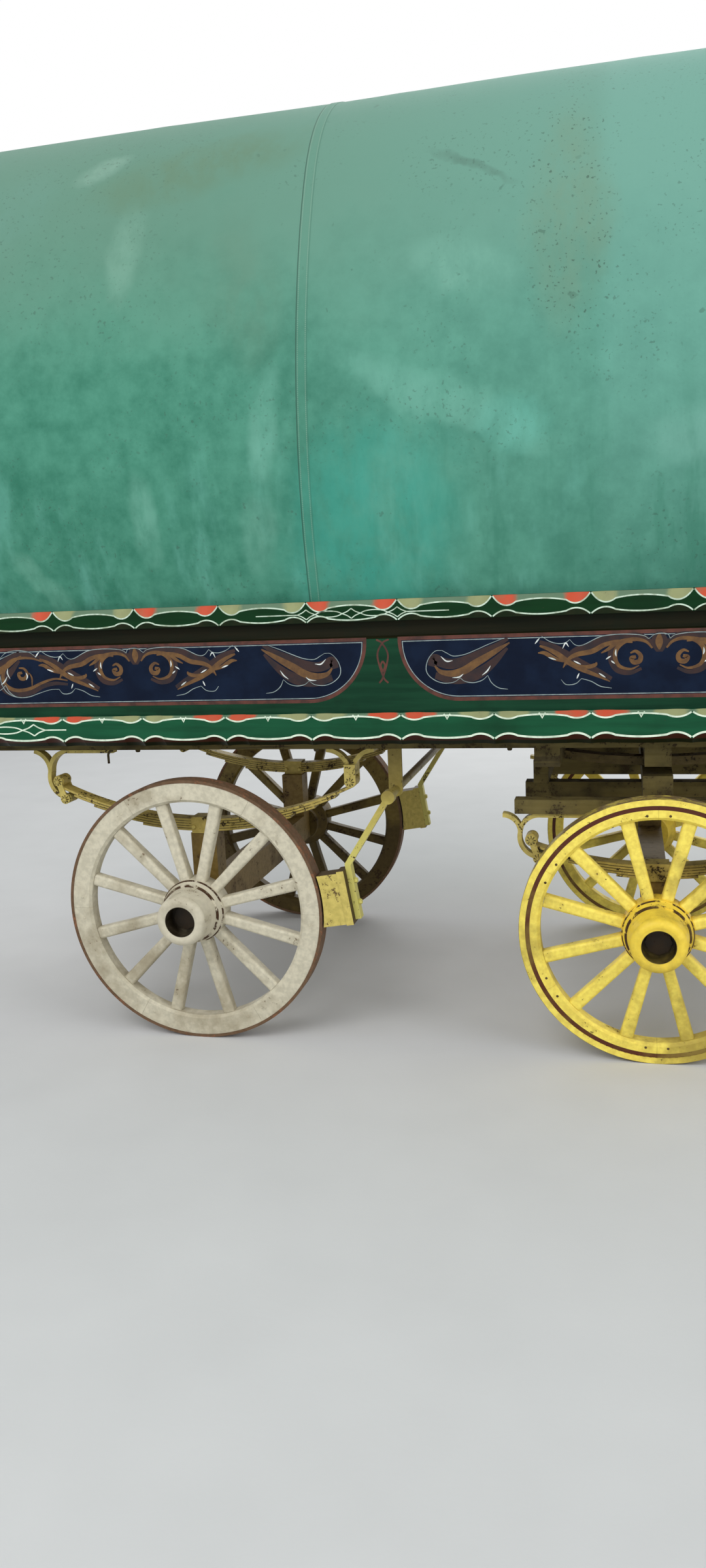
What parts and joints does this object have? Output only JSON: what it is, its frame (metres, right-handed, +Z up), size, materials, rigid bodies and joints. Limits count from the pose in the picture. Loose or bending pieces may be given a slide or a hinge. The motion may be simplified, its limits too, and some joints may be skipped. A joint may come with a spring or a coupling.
{
  "type": "bow-top vardo wagon",
  "caption": "Horse-drawn bow-top living wagon: sprung flat dray on wooden spoked wheels, painted low sides and a canvas roof over bent bows.",
  "frame": {"origin": "on the ground, midway along between the tail of the body and the shaft tips, on the centre line", "axes": "+X forwards, +Y to the wagon's left, +Z up"},
  "size_m": [4.989, 1.6642, 3.0698],
  "materials": {
    "rail_green": "gloss coach paint on timber with lined-out chamfers",
    "side_blue": "dark blue coach paint on boards with scrollwork",
    "canvas_green": "weathered green proofed canvas",
    "ash_wood": "varnished ash",
    "sole_brown": "weathered olive-brown paint on timber",
    "floor_wood": "worn softwood boards",
    "wall_green": "green painted matchboard",
    "door_green": "green painted panelled door, lined out",
    "trim_yellow": "chipped yellow coach paint",
    "wheel_white": "worn white paint on timber",
    "tyre_iron": "rusty iron",
    "black_iron": "dark forged iron",
    "window_glass": "clear glass"
  },
  "bodies": {
    "wagon": {"chassis_frame": "sole_brown", "floor_boards": "floor_wood", "bottom_rails": "rail_green", "side_boards": "side_blue", "top_rails": "rail_green", "canvas": "canvas_green", "roof_bows": "ash_wood", "front_wall": "wall_green", "rear_wall": "wall_green", "rear_window_frame": "trim_yellow", "rear_window_glass": "window_glass", "door_hinges": "black_iron", "footboard": "floor_wood", "footboard_brackets": "trim_yellow", "rear_springs": "trim_yellow", "rear_spring_irons": "trim_yellow", "rear_axle": "trim_yellow", "turntable_beds": "trim_yellow", "upper_ring": "trim_yellow", "brake_gear": "trim_yellow", "brake_blocks": "trim_yellow"},
    "fore_carriage": {"carriage_timbers": "trim_yellow", "carriage_pins": "black_iron", "lower_ring": "black_iron", "front_springs": "trim_yellow", "front_spring_irons": "trim_yellow", "front_axle": "trim_yellow"},
    "shaft_pair": {"shafts": "trim_yellow", "shaft_irons": "black_iron"},
    "right_door": {"door_right": "door_green"},
    "left_door": {"door_left": "door_green"},
    "rear_right_wheel": {"rear_right_nave": "wheel_white", "rear_right_spokes": "wheel_white", "rear_right_felloes": "wheel_white", "rear_right_tyre": "tyre_iron"},
    "rear_left_wheel": {"rear_left_nave": "trim_yellow", "rear_left_spokes": "trim_yellow", "rear_left_felloes": "trim_yellow", "rear_left_tyre": "tyre_iron"},
    "front_right_wheel": {"front_right_nave": "trim_yellow", "front_right_spokes": "trim_yellow", "front_right_felloes": "trim_yellow", "front_right_tyre": "trim_yellow"},
    "front_left_wheel": {"front_left_nave": "trim_yellow", "front_left_spokes": "trim_yellow", "front_left_felloes": "trim_yellow", "front_left_tyre": "trim_yellow"}
  },
  "joints": [
    {"name": "steering", "type": "hinge", "parent": "wagon", "child": "fore_carriage", "pos_m": [-0.04453, 0, 0.8867], "axis": [0, 0, 1], "range_deg": [-60, 60]},
    {"name": "shaft_lift", "type": "hinge", "parent": "fore_carriage", "child": "shaft_pair", "pos_m": [0.45547, 0, 0.7737], "axis": [0, -1, 0], "range_deg": [0, 34]},
    {"name": "right_door_swing", "type": "hinge", "parent": "wagon", "child": "right_door", "pos_m": [0.36147, -0.355, 1.152], "axis": [0, 0, -1], "range_deg": [0, 110]},
    {"name": "left_door_swing", "type": "hinge", "parent": "wagon", "child": "left_door", "pos_m": [0.36147, 0.355, 1.152], "axis": [0, 0, 1], "range_deg": [0, 110]},
    {"name": "rear_right_wheel_spin", "type": "hinge", "parent": "wagon", "child": "rear_right_wheel", "pos_m": [-1.54653, -0.71, 0.4474], "axis": [0, 1, 0], "continuous": true},
    {"name": "rear_left_wheel_spin", "type": "hinge", "parent": "wagon", "child": "rear_left_wheel", "pos_m": [-1.54653, 0.71, 0.4474], "axis": [0, 1, 0], "continuous": true},
    {"name": "front_right_wheel_spin", "type": "hinge", "parent": "fore_carriage", "child": "front_right_wheel", "pos_m": [-0.04453, -0.71, 0.42], "axis": [0, 1, 0], "continuous": true},
    {"name": "front_left_wheel_spin", "type": "hinge", "parent": "fore_carriage", "child": "front_left_wheel", "pos_m": [-0.04453, 0.71, 0.42], "axis": [0, 1, 0], "continuous": true}
  ]
}
